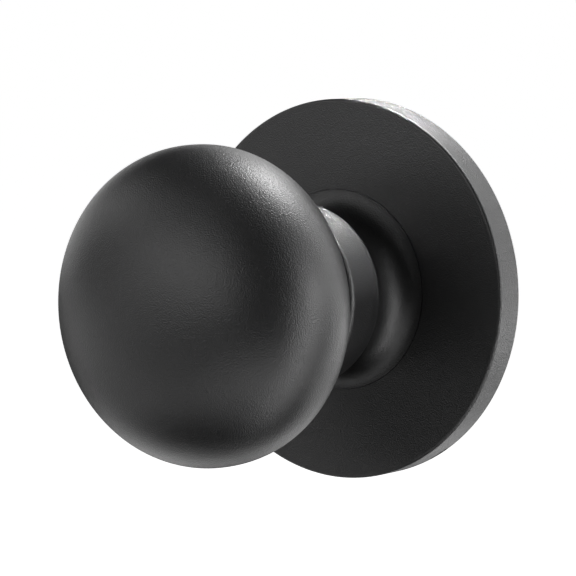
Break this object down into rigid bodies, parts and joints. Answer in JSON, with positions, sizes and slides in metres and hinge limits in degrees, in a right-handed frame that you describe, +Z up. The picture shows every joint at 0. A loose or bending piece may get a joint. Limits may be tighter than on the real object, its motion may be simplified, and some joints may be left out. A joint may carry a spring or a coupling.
{
  "type": "door knob",
  "caption": "Round passage door knob, one side, with a turning ball on a waisted neck, a clip-held round rose, a sprung return, a square spindle and through screws.",
  "frame": {"origin": "where the turning axis meets the door's face, on the spindle's centre line", "axes": "+Y along the spindle into the door, -Y towards the knob, +Z up, +X to the right as seen from the knob's side"},
  "size_m": [0.0666, 0.0986, 0.0666],
  "materials": {
    "black_coat": "satin powder coat, fine texture",
    "black_rose": "satin powder coat, fine texture",
    "zinc": "bare die-cast zinc",
    "steel": "zinc-plated steel",
    "spring_steel": "oiled spring steel",
    "nylon": "natural nylon"
  },
  "bodies": {
    "mount": {"cassette_cup": "zinc", "thrust_washer": "steel", "mounting_plate": "steel", "stop_pins": "steel", "cassette_rivets": "steel", "through_screws": "steel", "clip_rivets": "steel", "return_spring": "spring_steel", "snap_clips": "spring_steel", "front_bush": "nylon", "rear_bush": "nylon"},
    "knob": {"knob_shell": "black_coat", "lock_ring": "zinc", "stem_ferrule": "black_coat", "cross_pin": "steel", "knob_neck": "black_coat", "drive_tube": "steel", "spindle": "steel", "drive_cam": "zinc", "retaining_ring": "spring_steel", "rear_washer": "steel", "spring_washer": "spring_steel"},
    "rose": {"rose_cover": "black_rose"}
  },
  "joints": [
    {"name": "knob_turn", "type": "hinge", "parent": "mount", "child": "knob", "pos_m": [0, 0, 0], "axis": [0, 1, 0], "range_deg": [-55, 55], "stiffness_Nm_per_rad": 0.4, "deforming": ["return_spring"]},
    {"name": "rose_slide", "type": "slide", "parent": "mount", "child": "rose", "axis": [0, -1, 0], "range_m": [0, 0.012]}
  ]
}
